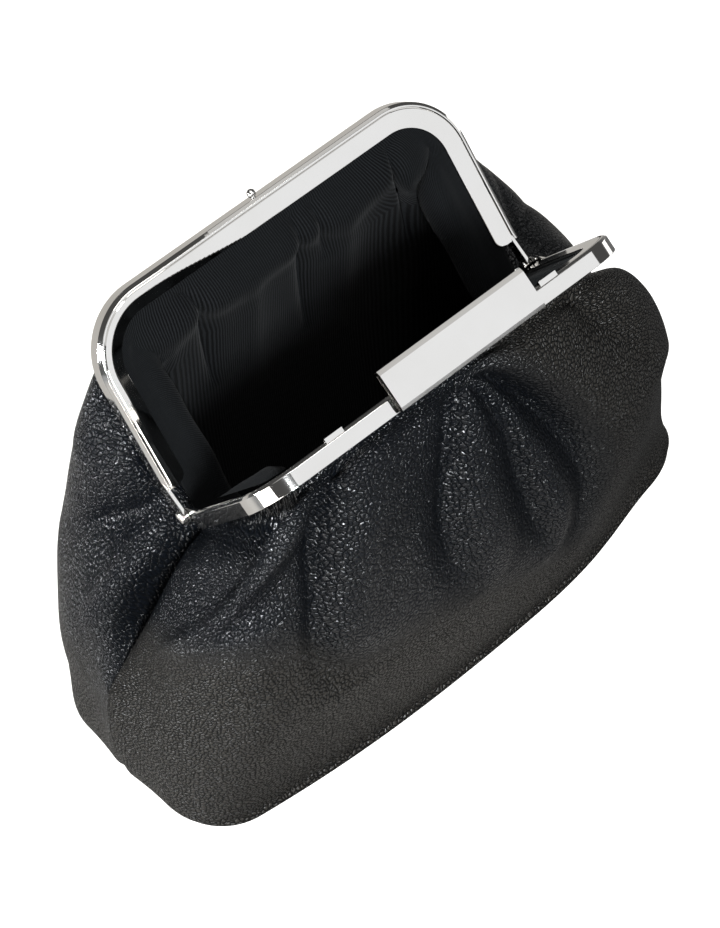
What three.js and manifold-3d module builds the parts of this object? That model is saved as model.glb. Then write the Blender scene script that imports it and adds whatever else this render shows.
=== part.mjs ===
// A small framed shoulder bag, standing open on its base: a gathered leather pouch
// with a twill lining, held in a hinged metal frame with a sliding clasp.
// Millimetres, +Z up. The origin is the middle of the base, and the front faces -Y.

import * as THREE from 'three';
import { LoftGeometry } from 'three/addons/geometries/LoftGeometry.js';
import { mergeVertices } from 'three/addons/utils/BufferGeometryUtils.js';
import Module from 'manifold-3d';

const wasm = await Module();
wasm.setup();

// Frame
const HINGE_HEIGHT = 108;                        // hinge axis above the base
const OPEN_ANGLE = THREE.MathUtils.degToRad(52); // each half above the level, as it stands open
const FRAME_WIDTH = 150.6;
const FRAME_REACH = 72.6;                        // hinge axis to the outside of the bar
const FRAME_CORNER = 23.8;
const FRAME_DEPTH = 6;                           // mouth side to outer side
const FRAME_WALL = 1;
const RIM_WALL = 1.2;
const BAND = 8.5;                                // height of the channel's two leaves
const LEG_FOOT = 10;                             // where the channel ends, above the hinge axis
const CORNER_STEPS = 6;
const TURNED_SIDES = 10;
const CUT_MARGIN = 1;                            // how far a cutting block runs past what it cuts

// Hinges
const EAR_RADIUS = 3.2;
const EAR_WALL = 1.2;
const EAR_ROOT = 13;                             // how far the ear runs up into the channel
const EAR_JOG = 1.5;                             // the inner ear lies this far inside the outer one
const EAR_LAP = 1;                               // the tongue is full height this far below the channel
const EAR_ROUND = [Math.PI / 3, 1.75 * Math.PI]; // the arc of the ear's round end
const RIVET_RADIUS = 1;
const RIVET_HEAD = [                             // half of a domed head, from its seat to its crown
  { radius: 2.4, rise: 0 },
  { radius: 2.4, rise: 0.4 },
  { radius: 1.7, rise: 1.2 },
  { radius: 0, rise: 1.4 },
];

// Clasp slide, its feet in the front bar's slots, and the stud that it catches
const SLIDE_CENTRE = 7.6;                        // shown slid right, in its open place
const SLIDE_TRAVEL = 7.6;                        // back to the middle of the bar, where it locks
const SLIDE_LENGTH = 59.2;
const SLIDE_THICK = 3;
const SLIDE_OVERHANG = 8.6;                      // past the bar's mouth side
const SLIDE_BEVEL = 0.8;
const SLIDE_WALL = 1.2;
const NOTCH_WIDTH = 4.6;                         // lets the stud in when the slide stands open
const FOOT_LENGTH = 5;
const FOOT_WIDTH = 2;
const FOOT_HEAD_WIDTH = 3.2;
const FOOT_HEAD = 1;
const FOOT_ROOT = 0.5;                           // how far a foot runs up into the plate
const FOOT_PLACES = [-10, 24];
const STOP_MARK = { x: -24.4, width: 0.8, depth: 0.5, margin: 0.8 };
const TAB = { place: 44, length: 7, rise: 0.5, reach: 1.2, height: 1.6 };
const STUD = { depth: 2.2, stem: 0.8, stemHeight: 1.2, ball: 1.5, ballRise: 1.2, shank: 1.6, hole: 4 };
const BALL_ARC = [-0.3 * Math.PI, 0.5 * Math.PI];

// Leather and lining
const LEATHER = 1.8;
const TWILL = 1.1;
const GAP = 0.3;
const LEATHER_DEPTH = FRAME_DEPTH - FRAME_WALL - GAP;
const TWILL_DEPTH = LEATHER_DEPTH - LEATHER - GAP;
const SEAM_GAP = 0.15;                           // each panel stops this far from the seam plane
const ROUNDEST = 0.95;                           // a section's corner radius, at most, to its reach
const OUTLINE_STEPS = 40;                        // along each of a section's bar, corner and leg

const cosOpen = Math.cos(OPEN_ANGLE);
const sinOpen = Math.sin(OPEN_ANGLE);

// A section inside the frame's channel, its outer face at the given depth from the mouth side.
function channelSection(inset, depth) {
  const reach = FRAME_REACH - inset;
  return {
    seamZ: HINGE_HEIGHT - depth / cosOpen,
    frontZ: HINGE_HEIGHT + reach * sinOpen - depth * cosOpen,
    frontY: reach * cosOpen + depth * sinOpen,
    seamX: FRAME_WIDTH / 2 - inset,
    sideX: FRAME_WIDTH / 2 - inset,
    corner: FRAME_CORNER - inset,
    bow: 0,
  };
}

// Sections of a panel, from the frame to the middle of the base. Each lies in a plane through
// the seam line at seamZ: seamX and sideX are half widths at the seam and beside the corner,
// frontY and frontZ the middle of the front, and bow how far the front curves back at its ends.
const FRONT_SECTIONS = [
  channelSection(5, LEATHER_DEPTH),
  channelSection(9.4, LEATHER_DEPTH),
  { seamZ: 95, frontZ: 150.3, frontY: 43.5, seamX: 69, sideX: 66, corner: 15, bow: 0 },
  { seamZ: 90, frontZ: 147, frontY: 50, seamX: 82, sideX: 82, corner: 26, bow: 1 },
  { seamZ: 81, frontZ: 130, frontY: 56, seamX: 95, sideX: 94, corner: 34, bow: 2 },
  { seamZ: 68, frontZ: 105, frontY: 58.5, seamX: 107, sideX: 103, corner: 40, bow: 3 },
  { seamZ: 52, frontZ: 75, frontY: 58.5, seamX: 115, sideX: 108, corner: 42, bow: 4 },
  { seamZ: 34, frontZ: 45, frontY: 56, seamX: 118, sideX: 112, corner: 36, bow: 6 },
  { seamZ: 16, frontZ: 19, frontY: 52.5, seamX: 118, sideX: 114, corner: 29, bow: 7 },
  { seamZ: 4, frontZ: 5, frontY: 49, seamX: 116, sideX: 114, corner: 23, bow: 7 },
  { seamZ: 0, frontZ: 0, frontY: 44.5, seamX: 111, sideX: 109, corner: 20, bow: 6 },
  { seamZ: 0, frontZ: 0, frontY: SEAM_GAP, seamX: 107, sideX: 107, corner: 0.1, bow: 0 },
];

// The back is a little slimmer beside the frame.
const BACK_SIDE_X = { 3: 79, 4: 90, 5: 100 };
const BACK_SECTIONS = FRONT_SECTIONS.map((row, i) => ({ ...row, sideX: BACK_SIDE_X[i] ?? row.sideX }));

const LINING_SECTIONS = [
  channelSection(6, TWILL_DEPTH),
  channelSection(11.5, TWILL_DEPTH),
  { seamZ: 98, frontZ: 147, frontY: 39, seamX: 60, sideX: 60, corner: 13, bow: 0 },
  { seamZ: 90, frontZ: 136, frontY: 42, seamX: 66, sideX: 68, corner: 22, bow: 1 },
  { seamZ: 77, frontZ: 112, frontY: 43, seamX: 82, sideX: 81, corner: 30, bow: 2 },
  { seamZ: 58, frontZ: 80, frontY: 43, seamX: 96, sideX: 90, corner: 36, bow: 4 },
  { seamZ: 36, frontZ: 44, frontY: 42, seamX: 104, sideX: 96, corner: 36, bow: 5 },
  { seamZ: 14, frontZ: 16, frontY: 41, seamX: 106, sideX: 100, corner: 30, bow: 6 },
  { seamZ: 2.4, frontZ: 2.4, frontY: 36, seamX: 102, sideX: 97, corner: 22, bow: 5 },
  { seamZ: 2.4, frontZ: 2.4, frontY: SEAM_GAP, seamX: 98, sideX: 98, corner: 0.1, bow: 0 },
];

// Folds of a panel. Each runs from (topS, topRow) to (footS, footRow): S goes from -1 at the left
// seam to 1 at the right one, and rows count the sections. Depth is inwards, so ridges are negative.
const SEAM_FOLDS = [
  { topS: -1, topRow: 2.5, footS: -1, footRow: 6.2, topWidth: 8, footWidth: 12, depth: 6 },
  { topS: 1, topRow: 2.5, footS: 1, footRow: 6.2, topWidth: 8, footWidth: 12, depth: 6 },
];
const FRONT_FOLDS = [
  ...SEAM_FOLDS,
  { topS: -0.62, topRow: 2.0, footS: -0.64, footRow: 4.3, topWidth: 20, footWidth: 20, depth: 9 },
  { topS: -0.43, topRow: 2.0, footS: -0.80, footRow: 5.6, topWidth: 10, footWidth: 24, depth: -5 },
  { topS: -0.31, topRow: 2.1, footS: -0.50, footRow: 5.9, topWidth: 6, footWidth: 8, depth: 7 },
  { topS: -0.18, topRow: 2.1, footS: -0.42, footRow: 6.3, topWidth: 13, footWidth: 17, depth: -5 },
  { topS: -0.03, topRow: 2.1, footS: -0.10, footRow: 6.3, topWidth: 6, footWidth: 9, depth: 6 },
  { topS: 0.02, topRow: 2.6, footS: -0.01, footRow: 6.8, topWidth: 9, footWidth: 12, depth: -3 },
  { topS: 0.03, topRow: 2.1, footS: 0.27, footRow: 6.3, topWidth: 7, footWidth: 11, depth: 7 },
  { topS: 0.08, topRow: 3.6, footS: 0.12, footRow: 7.2, topWidth: 6, footWidth: 8, depth: 4 },
  { topS: 0.12, topRow: 4.2, footS: 0.20, footRow: 7.6, topWidth: 8, footWidth: 12, depth: -3 },
  { topS: 0.10, topRow: 2.1, footS: 0.34, footRow: 5.2, topWidth: 9, footWidth: 14, depth: -4 },
  { topS: 0.37, topRow: 2.1, footS: 0.42, footRow: 5.0, topWidth: 9, footWidth: 12, depth: 6 },
  { topS: 0.50, topRow: 2.2, footS: 0.52, footRow: 5.4, topWidth: 16, footWidth: 20, depth: -3.5 },
  { topS: 0.60, topRow: 5.0, footS: 0.60, footRow: 9.3, topWidth: 26, footWidth: 30, depth: 9 },
];
const BACK_FOLDS = [
  ...SEAM_FOLDS,
  { topS: -0.60, topRow: 2.6, footS: -0.62, footRow: 6.0, topWidth: 26, footWidth: 26, depth: 4 },
  { topS: -0.90, topRow: 3.0, footS: -0.80, footRow: 6.4, topWidth: 10, footWidth: 12, depth: -3 },
  { topS: -0.38, topRow: 2.1, footS: -0.50, footRow: 5.6, topWidth: 7, footWidth: 10, depth: 6 },
  { topS: -0.22, topRow: 2.1, footS: -0.32, footRow: 6.4, topWidth: 12, footWidth: 16, depth: -5 },
  { topS: -0.06, topRow: 2.1, footS: -0.08, footRow: 6.4, topWidth: 7, footWidth: 10, depth: 6 },
  { topS: 0.10, topRow: 2.1, footS: 0.14, footRow: 6.6, topWidth: 12, footWidth: 16, depth: -5 },
  { topS: 0.26, topRow: 2.1, footS: 0.34, footRow: 5.8, topWidth: 7, footWidth: 10, depth: 6 },
  { topS: 0.62, topRow: 2.6, footS: 0.62, footRow: 6.0, topWidth: 26, footWidth: 26, depth: -3 },
];
const LINING_FOLDS = [
  { topS: -0.72, topRow: 1.8, footS: -0.66, footRow: 5.0, topWidth: 10, footWidth: 14, depth: 4 },
  { topS: -0.42, topRow: 1.8, footS: -0.38, footRow: 5.0, topWidth: 9, footWidth: 14, depth: 4 },
  { topS: -0.12, topRow: 1.8, footS: -0.10, footRow: 5.0, topWidth: 9, footWidth: 14, depth: 4 },
  { topS: 0.22, topRow: 1.8, footS: 0.20, footRow: 5.0, topWidth: 9, footWidth: 14, depth: 4 },
  { topS: 0.48, topRow: 1.8, footS: 0.44, footRow: 5.0, topWidth: 9, footWidth: 14, depth: 4 },
  { topS: 0.74, topRow: 1.8, footS: 0.68, footRow: 5.0, topWidth: 10, footWidth: 14, depth: 4 },
];
const FOLD_FADE = 0.8;                           // how sharply a fold rises from its two ends
const SEAM_HOLD = 8;                             // how closely a fold's edge keeps to the seam plane

// Mesh fineness of the soft walls: steps from seam to seam, and rows between two sections
const FRONT_STEPS = 42;
const BACK_STEPS = 32;
const LINING_STEPS = 26;
const LEATHER_ROWS = 2;
const LINING_ROWS = 1.25;

const LEATHER_LOOK = { color: 0x141415, roughness: 0.45, metalness: 0 };
const TWILL_LOOK = { color: 0x2a2b2e, roughness: 0.9, metalness: 0 };
const METAL_LOOK = { color: 0xd9d9dc, roughness: 0.12, metalness: 1 };

const lerp = THREE.MathUtils.lerp;

// The section at a fractional row, on a smooth curve through the table's rows.
function sectionAt(sections, row) {
  const last = sections.length - 1;
  const i = Math.min(Math.floor(row), last - 1);
  const t = row - i;
  const blended = {};
  for (const key of Object.keys(sections[0])) {
    const p1 = sections[i][key];
    const p2 = sections[i + 1][key];
    const p0 = i > 0 ? sections[i - 1][key] : 2 * p1 - p2;
    const p3 = i + 2 <= last ? sections[i + 2][key] : 2 * p2 - p1;
    const slope = (p2 - p0) * t;
    const bend = (2 * p0 - 5 * p1 + 4 * p2 - p3) * t * t;
    const twist = (3 * p1 - p0 - 3 * p2 + p3) * t * t * t;
    blended[key] = (2 * p1 + slope + bend + twist) / 2;
  }
  return blended;
}

// Half of a section, from the middle of the front round the corner to the seam, in its own plane.
function halfOutline(section) {
  const reach = Math.hypot(section.frontY, section.frontZ - section.seamZ);
  const corner = Math.min(section.corner, ROUNDEST * reach);
  const flat = section.sideX - corner;
  const turn = Math.atan2(2 * section.bow, flat);
  const barEnd = flat + corner * Math.sin(turn);
  const cornerFoot = reach - section.bow - corner * Math.cos(turn);
  const points = [];
  for (let k = 0; k < OUTLINE_STEPS; k++) {
    const t = k / OUTLINE_STEPS;
    points.push(new THREE.Vector2(barEnd * t, reach - section.bow * t * t));
  }
  for (let k = 0; k < OUTLINE_STEPS; k++) {
    const angle = lerp(Math.PI / 2 - turn, 0, k / OUTLINE_STEPS);
    const rise = corner * Math.sin(angle);
    points.push(new THREE.Vector2(flat + corner * Math.cos(angle), cornerFoot + rise));
  }
  for (let k = 0; k <= OUTLINE_STEPS; k++) {
    const t = k / OUTLINE_STEPS;
    points.push(new THREE.Vector2(lerp(section.sideX, section.seamX, t * t), cornerFoot * (1 - t)));
  }
  return points;
}

// The point at a share of an outline's length, and the whole length.
function pointAlong(outline, share) {
  const lengths = [0];
  for (let k = 1; k < outline.length; k++) {
    lengths.push(lengths[k - 1] + outline[k].distanceTo(outline[k - 1]));
  }
  const total = lengths[outline.length - 1];
  const wanted = share * total;
  let k = 1;
  while (k < outline.length - 1 && lengths[k] < wanted) k++;
  const t = (wanted - lengths[k - 1]) / (lengths[k] - lengths[k - 1]);
  return { point: outline[k - 1].clone().lerp(outline[k], t), total };
}

function foldDepth(folds, s, row, halfLength) {
  let depth = 0;
  for (const fold of folds) {
    const t = (row - fold.topRow) / (fold.footRow - fold.topRow);
    if (t <= 0 || t >= 1) continue;
    const offset = (s - lerp(fold.topS, fold.footS, t)) * halfLength;
    const width = lerp(fold.topWidth, fold.footWidth, t);
    depth += fold.depth * Math.sin(Math.PI * t) ** FOLD_FADE * Math.exp(-((offset / width) ** 2));
  }
  return depth;
}

// A panel's outer surface, without its folds: side is -1 for the front and 1 for the back.
function smoothPoint(panel, s, row) {
  const section = sectionAt(panel.sections, row);
  const { point, total } = pointAlong(halfOutline(section), Math.abs(s));
  const tilt = Math.atan2(section.frontZ - section.seamZ, section.frontY);
  const away = Math.max(point.y * Math.cos(tilt), SEAM_GAP);
  const height = Math.max(section.seamZ + point.y * Math.sin(tilt), panel.floor);
  return { place: new THREE.Vector3(Math.sign(s) * point.x, panel.side * away, height), total };
}

// The outward normal of a surface, from neighbouring points of it.
function normalOf(surface, panel, s, row) {
  const nearS = 0.004;
  const nearRow = 0.02;
  const last = panel.sections.length - 1;
  const across = surface(Math.min(s + nearS, 1), row).sub(surface(Math.max(s - nearS, -1), row));
  const down = surface(s, Math.min(row + nearRow, last)).sub(surface(s, Math.max(row - nearRow, 0)));
  return across.cross(down).multiplyScalar(panel.side).normalize();
}

// The closed wall of a panel: rings of outer and inner points, lofted from seam to seam and
// closed at each seam by a ring drawn together on the middle of the wall.
function softWall(panel) {
  const smooth = (s, row) => smoothPoint(panel, s, row).place;
  const folded = (s, row) => {
    const { place, total } = smoothPoint(panel, s, row);
    const depth = foldDepth(panel.folds, s, row, total);
    const inwards = normalOf(smooth, panel, s, row).negate();
    inwards.y *= 1 - s ** SEAM_HOLD;
    return place.addScaledVector(inwards, depth);
  };
  const last = panel.sections.length - 1;
  const rows = [0];
  for (let k = 0; k <= (last - 1) * panel.rowsPerSection; k++) {
    rows.push(1 + k / panel.rowsPerSection);
  }
  const keepOffSeam = (place) => {
    place.y = panel.side * Math.max(panel.side * place.y, SEAM_GAP);
    return place;
  };
  const ring = (s, outerShare) => {
    const outer = [];
    const inner = [];
    for (const row of rows) {
      const place = folded(s, row);
      const normal = normalOf(folded, panel, s, row);
      if (Math.abs(s) === 1) normal.setY(0).normalize();
      outer.push(keepOffSeam(place.clone().addScaledVector(normal, -outerShare * panel.thickness)));
      inner.push(keepOffSeam(place.addScaledVector(normal, (outerShare - 1) * panel.thickness)));
    }
    inner.reverse();
    return [...outer, ...inner];
  };
  const rings = [ring(-1, 0.5)];
  for (let k = 0; k <= panel.steps; k++) {
    rings.push(ring(-1 + 2 * k / panel.steps, 0));
  }
  rings.push(ring(1, 0.5));
  return outward(new LoftGeometry(rings));
}

// One closed body with shared corners, no empty triangles and its faces pointing out.
function outward(geometry) {
  const bare = new THREE.BufferGeometry();
  bare.setAttribute('position', geometry.getAttribute('position'));
  bare.setIndex(geometry.getIndex());
  const body = mergeVertices(bare);
  const places = body.getAttribute('position');
  const corners = [];
  const [a, b, c] = [new THREE.Vector3(), new THREE.Vector3(), new THREE.Vector3()];
  const index = body.getIndex();
  let volume = 0;
  for (let k = 0; k < index.count; k += 3) {
    const [i, j, m] = [index.getX(k), index.getX(k + 1), index.getX(k + 2)];
    if (i === j || j === m || m === i) continue;
    corners.push(i, j, m);
    a.fromBufferAttribute(places, i);
    b.fromBufferAttribute(places, j);
    c.fromBufferAttribute(places, m);
    volume += a.dot(b.cross(c));
  }
  if (volume < 0) corners.reverse();
  body.setIndex(corners);
  return body;
}

function toSolid(geometry) {
  const body = outward(geometry);
  return new wasm.Manifold(new wasm.Mesh({
    numProp: 3,
    vertProperties: new Float32Array(body.getAttribute('position').array),
    triVerts: new Uint32Array(body.getIndex().array),
  }));
}

function fromSolid(solid) {
  const mesh = solid.getMesh();
  const geometry = new THREE.BufferGeometry();
  geometry.setAttribute('position', new THREE.BufferAttribute(mesh.vertProperties, 3));
  geometry.setIndex(new THREE.BufferAttribute(mesh.triVerts, 1));
  return geometry;
}

function box(x, y, z) {
  const block = new THREE.BoxGeometry(x[1] - x[0], y[1] - y[0], z[1] - z[0]);
  return toSolid(block.translate((x[0] + x[1]) / 2, (y[0] + y[1]) / 2, (z[0] + z[1]) / 2));
}

// A U-shaped strip of the frame between two insets from its outside, extruded from the mouth side out.
function frameStrip(outerInset, innerInset, depth) {
  const centreX = FRAME_WIDTH / 2 - FRAME_CORNER;
  const centreY = FRAME_REACH - FRAME_CORNER;
  const outerX = FRAME_WIDTH / 2 - outerInset;
  const innerX = FRAME_WIDTH / 2 - innerInset;
  const outerR = FRAME_CORNER - outerInset;
  const innerR = FRAME_CORNER - innerInset;
  const outline = new THREE.Shape();
  outline.moveTo(outerX, LEG_FOOT);
  outline.absarc(centreX, centreY, outerR, 0, Math.PI / 2, false);
  outline.absarc(-centreX, centreY, outerR, Math.PI / 2, Math.PI, false);
  outline.lineTo(-outerX, LEG_FOOT);
  outline.lineTo(-innerX, LEG_FOOT);
  outline.absarc(-centreX, centreY, innerR, Math.PI, Math.PI / 2, true);
  outline.absarc(centreX, centreY, innerR, Math.PI / 2, 0, true);
  outline.lineTo(innerX, LEG_FOOT);
  const strip = new THREE.ExtrudeGeometry(outline, {
    depth: depth[1] - depth[0],
    bevelEnabled: false,
    curveSegments: CORNER_STEPS,
  });
  return toSolid(strip.translate(0, 0, depth[0]));
}

// A hinge ear: a flat tongue from the channel's foot to a round end on the hinge axis.
function hingeEar(x) {
  const tongue = new THREE.Shape();
  const rootTop = FRAME_DEPTH - FRAME_WALL / 2;
  const shoulder = LEG_FOOT - EAR_LAP;
  tongue.moveTo(EAR_ROOT, FRAME_WALL / 2);
  tongue.lineTo(EAR_ROOT, rootTop);
  tongue.lineTo(shoulder, rootTop);
  tongue.absarc(0, 0, EAR_RADIUS, ...EAR_ROUND, false);
  tongue.lineTo(shoulder, FRAME_WALL / 2);
  const hole = new THREE.Path();
  hole.absarc(0, 0, RIVET_RADIUS + GAP, 0, 2 * Math.PI, true);
  tongue.holes.push(hole);
  const ear = new THREE.ExtrudeGeometry(tongue, {
    depth: EAR_WALL,
    bevelEnabled: false,
    curveSegments: CORNER_STEPS,
  });
  const acrossX = new THREE.Matrix4().makeBasis(
    new THREE.Vector3(0, 1, 0), new THREE.Vector3(0, 0, 1), new THREE.Vector3(1, 0, 0));
  return toSolid(ear.applyMatrix4(acrossX).translate(x, 0, 0));
}

// One half of the frame, in its own plane: X along the bar, Y away from the hinge, Z out of the mouth.
// Both halves are the same pressing, with the left ear inside and the right ear outside.
function frameHalf() {
  const rightEar = FRAME_WIDTH / 2 - EAR_WALL;
  const leftEar = -FRAME_WIDTH / 2 + EAR_JOG;
  return frameStrip(0, RIM_WALL, [0, FRAME_DEPTH])
    .add(frameStrip(0, BAND, [0, FRAME_WALL]))
    .add(frameStrip(0, BAND, [FRAME_DEPTH - FRAME_WALL, FRAME_DEPTH]))
    .add(hingeEar(rightEar))
    .add(hingeEar(leftEar));
}

// The front half, with slots for the slide's feet, the stop mark and two tabs on its mouth side.
function frontFrame() {
  let frame = frameHalf();
  const middle = FRAME_DEPTH / 2;
  const slotHalf = FOOT_WIDTH / 2 + GAP;
  for (const place of FOOT_PLACES) {
    const slotX = [place - FOOT_LENGTH / 2 - SLIDE_TRAVEL - GAP, place + FOOT_LENGTH / 2 + GAP];
    const slotY = [FRAME_REACH - RIM_WALL - CUT_MARGIN, FRAME_REACH + CUT_MARGIN];
    frame = frame.subtract(box(slotX, slotY, [middle - slotHalf, middle + slotHalf]));
  }
  const markX = [STOP_MARK.x - STOP_MARK.width / 2, STOP_MARK.x + STOP_MARK.width / 2];
  const markZ = [STOP_MARK.margin, FRAME_DEPTH - STOP_MARK.margin];
  const markY = [FRAME_REACH - STOP_MARK.depth, FRAME_REACH + CUT_MARGIN];
  frame = frame.subtract(box(markX, markY, markZ));
  for (const side of [-1, 1]) {
    const tabX = [side * TAB.place - TAB.length / 2, side * TAB.place + TAB.length / 2];
    const tabY = [FRAME_REACH + TAB.rise - TAB.height, FRAME_REACH + TAB.rise];
    frame = frame.add(box(tabX, tabY, [-TAB.reach, FRAME_WALL / 2]));
  }
  return fromSolid(frame);
}

// The back half, drilled for the stud's shank.
function backFrame() {
  const radius = STUD.stem + GAP;
  const hole = new THREE.CylinderGeometry(radius, radius, STUD.hole, TURNED_SIDES);
  return fromSolid(frameHalf().subtract(toSolid(hole.translate(0, FRAME_REACH, STUD.depth))));
}

// The clasp slide: a bevelled plate with a pocket under its overhang and two headed feet.
function claspSlide() {
  const seat = FRAME_REACH + GAP;
  const left = SLIDE_CENTRE - SLIDE_LENGTH / 2;
  const right = SLIDE_CENTRE + SLIDE_LENGTH / 2;
  const back = -SLIDE_OVERHANG;
  const profile = new THREE.Shape();
  profile.moveTo(back, seat);
  profile.lineTo(FRAME_DEPTH, seat);
  profile.lineTo(FRAME_DEPTH, seat + SLIDE_THICK - SLIDE_BEVEL);
  profile.lineTo(FRAME_DEPTH - SLIDE_BEVEL, seat + SLIDE_THICK);
  profile.lineTo(back + 2 * SLIDE_BEVEL, seat + SLIDE_THICK);
  profile.lineTo(back, seat + SLIDE_THICK - SLIDE_BEVEL);
  const bar = new THREE.ExtrudeGeometry(profile, { depth: SLIDE_LENGTH, bevelEnabled: false });
  const alongX = new THREE.Matrix4().makeBasis(
    new THREE.Vector3(0, 0, 1), new THREE.Vector3(0, 1, 0), new THREE.Vector3(-1, 0, 0));
  let slide = toSolid(bar.applyMatrix4(alongX).translate(right, 0, 0));
  const pocketTop = seat + SLIDE_THICK - SLIDE_WALL;
  const pocketY = [seat - CUT_MARGIN, pocketTop];
  const pocketX = [left + SLIDE_WALL, right - SLIDE_WALL];
  const notchX = [-NOTCH_WIDTH / 2, NOTCH_WIDTH / 2];
  slide = slide
    .subtract(box(pocketX, pocketY, [back + SLIDE_WALL, -GAP]))
    .subtract(box(notchX, pocketY, [back - CUT_MARGIN, -GAP]));
  const middle = FRAME_DEPTH / 2;
  const headTop = FRAME_REACH - RIM_WALL - GAP;
  const stemZ = [middle - FOOT_WIDTH / 2, middle + FOOT_WIDTH / 2];
  const headZ = [middle - FOOT_HEAD_WIDTH / 2, middle + FOOT_HEAD_WIDTH / 2];
  for (const place of FOOT_PLACES) {
    const footX = [place - FOOT_LENGTH / 2, place + FOOT_LENGTH / 2];
    slide = slide
      .add(box(footX, [headTop - FOOT_HEAD / 2, seat + FOOT_ROOT], stemZ))
      .add(box(footX, [headTop - FOOT_HEAD, headTop], headZ));
  }
  return fromSolid(slide);
}

// The catch stud: a shank in the bar, a stem and a ball, turned about the bar's height.
function catchStud() {
  const profile = [
    [0, -STUD.shank],
    [STUD.stem, -STUD.shank],
    [STUD.stem, STUD.stemHeight],
  ];
  const ballCentre = STUD.stemHeight + STUD.ballRise;
  for (let k = 0; k < CORNER_STEPS; k++) {
    const angle = lerp(...BALL_ARC, k / CORNER_STEPS);
    profile.push([STUD.ball * Math.cos(angle), ballCentre + STUD.ball * Math.sin(angle)]);
  }
  profile.push([0, ballCentre + STUD.ball]);
  const turned = new THREE.LatheGeometry(profile.map(([r, y]) => new THREE.Vector2(r, y)), TURNED_SIDES);
  return outward(turned.translate(0, FRAME_REACH, STUD.depth));
}

// A rivet along X through both ears, with a domed head at each end.
function hingeRivet() {
  const half = (EAR_WALL + EAR_JOG) / 2 + GAP;
  const upper = RIVET_HEAD.map(({ radius, rise }) => new THREE.Vector2(radius, half + rise));
  upper.unshift(new THREE.Vector2(RIVET_RADIUS, half));
  const lower = upper.map(({ x, y }) => new THREE.Vector2(x, -y)).reverse();
  const turned = new THREE.LatheGeometry([...lower, ...upper], TURNED_SIDES);
  return outward(turned.rotateZ(-Math.PI / 2));
}

const bag = new THREE.Group();

function add(parent, name, geometry, look) {
  const mesh = new THREE.Mesh(geometry, new THREE.MeshStandardMaterial(look));
  mesh.name = name;
  parent.add(mesh);
  return mesh;
}

const leather = { thickness: LEATHER, rowsPerSection: LEATHER_ROWS, floor: 0 };
const lining = {
  sections: LINING_SECTIONS,
  folds: LINING_FOLDS,
  thickness: TWILL,
  steps: LINING_STEPS,
  rowsPerSection: LINING_ROWS,
  floor: LINING_SECTIONS[LINING_SECTIONS.length - 1].seamZ,
};
const front = { sections: FRONT_SECTIONS, folds: FRONT_FOLDS, steps: FRONT_STEPS, side: -1 };
const back = { sections: BACK_SECTIONS, folds: BACK_FOLDS, steps: BACK_STEPS, side: 1 };
add(bag, 'front_panel', softWall({ ...leather, ...front }), LEATHER_LOOK);
add(bag, 'back_panel', softWall({ ...leather, ...back }), LEATHER_LOOK);
add(bag, 'front_lining', softWall({ ...lining, side: -1 }), TWILL_LOOK);
add(bag, 'back_lining', softWall({ ...lining, side: 1 }), TWILL_LOOK);

// The two halves stand open about the hinge axis, the back one turned round to face the front one.
const frontHalf = new THREE.Group();
frontHalf.position.z = HINGE_HEIGHT;
frontHalf.rotation.x = Math.PI - OPEN_ANGLE;
add(frontHalf, 'front_frame', frontFrame(), METAL_LOOK);
add(frontHalf, 'clasp_slide', claspSlide(), METAL_LOOK);
const backHalf = new THREE.Group();
backHalf.rotation.x = Math.PI - OPEN_ANGLE;
add(backHalf, 'back_frame', backFrame(), METAL_LOOK);
add(backHalf, 'catch_stud', catchStud(), METAL_LOOK);
const backTurn = new THREE.Group();
backTurn.position.z = HINGE_HEIGHT;
backTurn.rotation.z = Math.PI;
backTurn.add(backHalf);
bag.add(frontHalf, backTurn);

const rivetX = FRAME_WIDTH / 2 - (EAR_WALL + EAR_JOG) / 2;
for (const [name, side] of [['left_hinge_rivet', -1], ['right_hinge_rivet', 1]]) {
  add(bag, name, hingeRivet(), METAL_LOOK).position.set(side * rivetX, 0, HINGE_HEIGHT);
}

export default bag;
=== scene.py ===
import math

import bmesh
import bpy
import numpy as np
from mathutils import Matrix, Vector


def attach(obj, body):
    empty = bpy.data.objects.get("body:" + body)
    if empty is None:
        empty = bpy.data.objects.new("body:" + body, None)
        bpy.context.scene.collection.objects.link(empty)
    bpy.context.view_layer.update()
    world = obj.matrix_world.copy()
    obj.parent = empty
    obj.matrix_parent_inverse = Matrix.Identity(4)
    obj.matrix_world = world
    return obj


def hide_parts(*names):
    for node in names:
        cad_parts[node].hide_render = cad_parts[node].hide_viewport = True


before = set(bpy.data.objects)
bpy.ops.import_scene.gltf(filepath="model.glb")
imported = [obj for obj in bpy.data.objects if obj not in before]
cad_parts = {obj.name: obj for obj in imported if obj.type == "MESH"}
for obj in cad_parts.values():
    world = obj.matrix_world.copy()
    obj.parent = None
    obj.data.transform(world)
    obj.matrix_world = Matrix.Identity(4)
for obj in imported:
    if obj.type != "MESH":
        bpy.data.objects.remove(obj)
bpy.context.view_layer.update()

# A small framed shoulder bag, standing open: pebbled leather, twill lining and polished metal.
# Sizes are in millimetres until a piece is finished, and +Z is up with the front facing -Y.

MM = 0.001

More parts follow.
